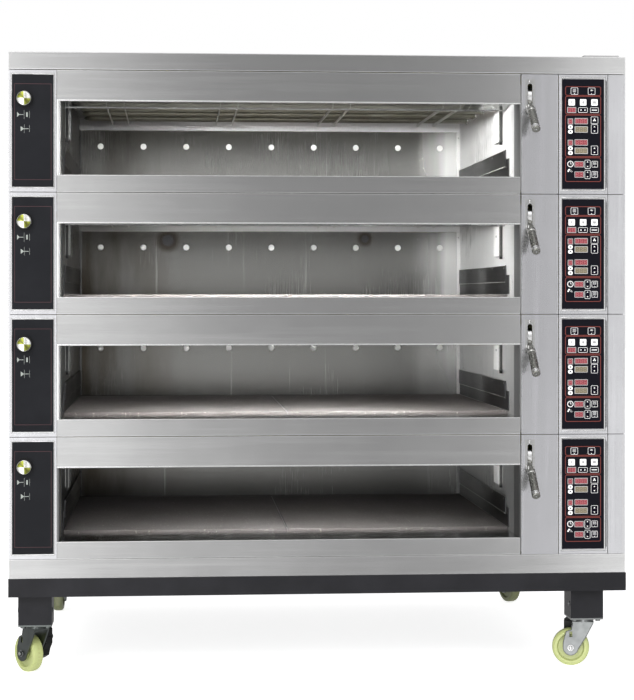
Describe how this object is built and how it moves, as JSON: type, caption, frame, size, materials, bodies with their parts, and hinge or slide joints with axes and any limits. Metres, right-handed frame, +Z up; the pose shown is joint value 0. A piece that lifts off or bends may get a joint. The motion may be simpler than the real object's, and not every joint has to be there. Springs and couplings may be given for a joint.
{
  "type": "deck oven",
  "caption": "Stacked stainless deck oven with lever-worked glass doors, stone hearths, damper knobs, control panels and a black wheeled stand.",
  "frame": {"origin": "on the floor, at the middle of the overall box in X and Y", "axes": "+X to the right of someone facing the doors, +Y into the oven, +Z up"},
  "size_m": [1.638, 1.3177, 1.643],
  "materials": {
    "stainless": "satin",
    "liner_steel": "satin",
    "lever_steel": "satin",
    "dark_steel": "matte",
    "bolt_steel": "satin",
    "galvanised": "satin",
    "fitting_steel": "satin",
    "zinc": "satin",
    "stand_paint": "satin",
    "hearth": "matte",
    "element": "matte",
    "lamp": "gloss",
    "probe": "matte",
    "bush": "satin",
    "overlay": "satin",
    "board": "satin",
    "insulation": "matte",
    "door_glass": "gloss",
    "knob": "satin",
    "wheel_nylon": "gloss",
    "black_plastic": "satin"
  },
  "bodies": {
    "oven": {"stand_rails": "stand_paint", "stand_legs": "stand_paint", "caster_plates": "zinc", "caster_bolts": "zinc", "base_plinth": "stainless", "top_fascia": "stainless", "top_cover": "stainless", "side_panels": "stainless", "back_panel": "galvanised", "rear_fittings": "fitting_steel", "insulation": "insulation", "liner_sides": "liner_steel", "liner_backs": "liner_steel", "liner_ceilings": "liner_steel", "liner_floors": "liner_steel", "hearth_stones": "hearth", "heating_elements": "element", "element_straps": "liner_steel", "chamber_lamps": "lamp", "steam_covers": "dark_steel", "liner_bolts": "bolt_steel", "thermal_probes": "probe", "header_rails": "stainless", "sill_rails": "stainless", "jambs": "stainless", "door_bushes": "bush", "door_posts": "stainless", "slot_plates": "stainless", "column_panels": "stainless", "panel_overlays": "overlay", "control_boards": "board", "flue_duct": "galvanised"},
    "door_1": {"door_glass_1": "door_glass", "door_frame_1": "stainless", "door_lever_1": "lever_steel"},
    "damper_1": {"damper_knob_1": "knob"},
    "door_2": {"door_glass_2": "door_glass", "door_frame_2": "stainless", "door_lever_2": "lever_steel"},
    "damper_2": {"damper_knob_2": "knob"},
    "door_3": {"door_glass_3": "door_glass", "door_frame_3": "stainless", "door_lever_3": "lever_steel"},
    "damper_3": {"damper_knob_3": "knob"},
    "door_4": {"door_glass_4": "door_glass", "door_frame_4": "stainless", "door_lever_4": "lever_steel"},
    "damper_4": {"damper_knob_4": "knob"},
    "fork_front_left": {"caster_fork_front_left": "zinc"},
    "wheel_front_left": {"caster_wheel_front_left": "wheel_nylon"},
    "brake_front_left": {"caster_brake_front_left": "black_plastic"},
    "fork_front_right": {"caster_fork_front_right": "zinc"},
    "wheel_front_right": {"caster_wheel_front_right": "wheel_nylon"},
    "brake_front_right": {"caster_brake_front_right": "black_plastic"},
    "fork_rear_left": {"caster_fork_rear_left": "zinc"},
    "wheel_rear_left": {"caster_wheel_rear_left": "wheel_nylon"},
    "brake_rear_left": {"caster_brake_rear_left": "black_plastic"},
    "fork_rear_right": {"caster_fork_rear_right": "zinc"},
    "wheel_rear_right": {"caster_wheel_rear_right": "wheel_nylon"},
    "brake_rear_right": {"caster_brake_rear_right": "black_plastic"}
  },
  "joints": [
    {"name": "door_1_swing", "type": "hinge", "parent": "oven", "child": "door_1", "pos_m": [0.5595, -0.5389, 1.532], "axis": [-1, 0, 0], "range_deg": [0, 86]},
    {"name": "damper_1_pull", "type": "slide", "parent": "oven", "child": "damper_1", "axis": [0, -1, 0], "range_m": [0, 0.03]},
    {"name": "door_2_swing", "type": "hinge", "parent": "oven", "child": "door_2", "pos_m": [0.5595, -0.5389, 1.2115], "axis": [-1, 0, 0], "range_deg": [0, 86]},
    {"name": "damper_2_pull", "type": "slide", "parent": "oven", "child": "damper_2", "axis": [0, -1, 0], "range_m": [0, 0.03]},
    {"name": "door_3_swing", "type": "hinge", "parent": "oven", "child": "door_3", "pos_m": [0.5595, -0.5389, 0.891], "axis": [-1, 0, 0], "range_deg": [0, 86]},
    {"name": "damper_3_pull", "type": "slide", "parent": "oven", "child": "damper_3", "axis": [0, -1, 0], "range_m": [0, 0.03]},
    {"name": "door_4_swing", "type": "hinge", "parent": "oven", "child": "door_4", "pos_m": [0.5595, -0.5389, 0.5705], "axis": [-1, 0, 0], "range_deg": [0, 86]},
    {"name": "damper_4_pull", "type": "slide", "parent": "oven", "child": "damper_4", "axis": [0, -1, 0], "range_m": [0, 0.03]},
    {"name": "swivel_front_left", "type": "hinge", "parent": "oven", "child": "fork_front_left", "pos_m": [-0.7515, -0.4929, 0.12], "axis": [0, 0, 1], "continuous": true},
    {"name": "roll_front_left", "type": "hinge", "parent": "fork_front_left", "child": "wheel_front_left", "pos_m": [-0.77274, -0.46571, 0.05], "axis": [-0.788, -0.6157, 0], "continuous": true},
    {"name": "brake_front_left_press", "type": "hinge", "parent": "fork_front_left", "child": "brake_front_left", "pos_m": [-0.75643, -0.4866, 0.091], "axis": [-0.788, -0.6157, 0], "range_deg": [0, 8]},
    {"name": "swivel_front_right", "type": "hinge", "parent": "oven", "child": "fork_front_right", "pos_m": [0.7195, -0.4929, 0.12], "axis": [0, 0, 1], "continuous": true},
    {"name": "roll_front_right", "type": "hinge", "parent": "fork_front_right", "child": "wheel_front_right", "pos_m": [0.68575, -0.48573, 0.05], "axis": [-0.2079, -0.9781, 0], "continuous": true},
    {"name": "brake_front_right_press", "type": "hinge", "parent": "fork_front_right", "child": "brake_front_right", "pos_m": [0.71167, -0.49124, 0.091], "axis": [-0.2079, -0.9781, 0], "range_deg": [0, 8]},
    {"name": "swivel_rear_left", "type": "hinge", "parent": "oven", "child": "fork_rear_left", "pos_m": [-0.7515, 0.5511, 0.12], "axis": [0, 0, 1], "continuous": true},
    {"name": "roll_rear_left", "type": "hinge", "parent": "fork_rear_left", "child": "wheel_rear_left", "pos_m": [-0.7527, 0.51662, 0.05], "axis": [0.9994, -0.0349, 0], "continuous": true},
    {"name": "brake_rear_left_press", "type": "hinge", "parent": "fork_rear_left", "child": "brake_rear_left", "pos_m": [-0.75178, 0.5431, 0.091], "axis": [0.9994, -0.0349, 0], "range_deg": [0, 8]},
    {"name": "swivel_rear_right", "type": "hinge", "parent": "oven", "child": "fork_rear_right", "pos_m": [0.7195, 0.5511, 0.12], "axis": [0, 0, 1], "continuous": true},
    {"name": "roll_rear_right", "type": "hinge", "parent": "fork_rear_right", "child": "wheel_rear_right", "pos_m": [0.7077, 0.58352, 0.05], "axis": [-0.9397, -0.342, 0], "continuous": true},
    {"name": "brake_rear_right_press", "type": "hinge", "parent": "fork_rear_right", "child": "brake_rear_right", "pos_m": [0.71676, 0.55862, 0.091], "axis": [-0.9397, -0.342, 0], "range_deg": [0, 8]}
  ]
}
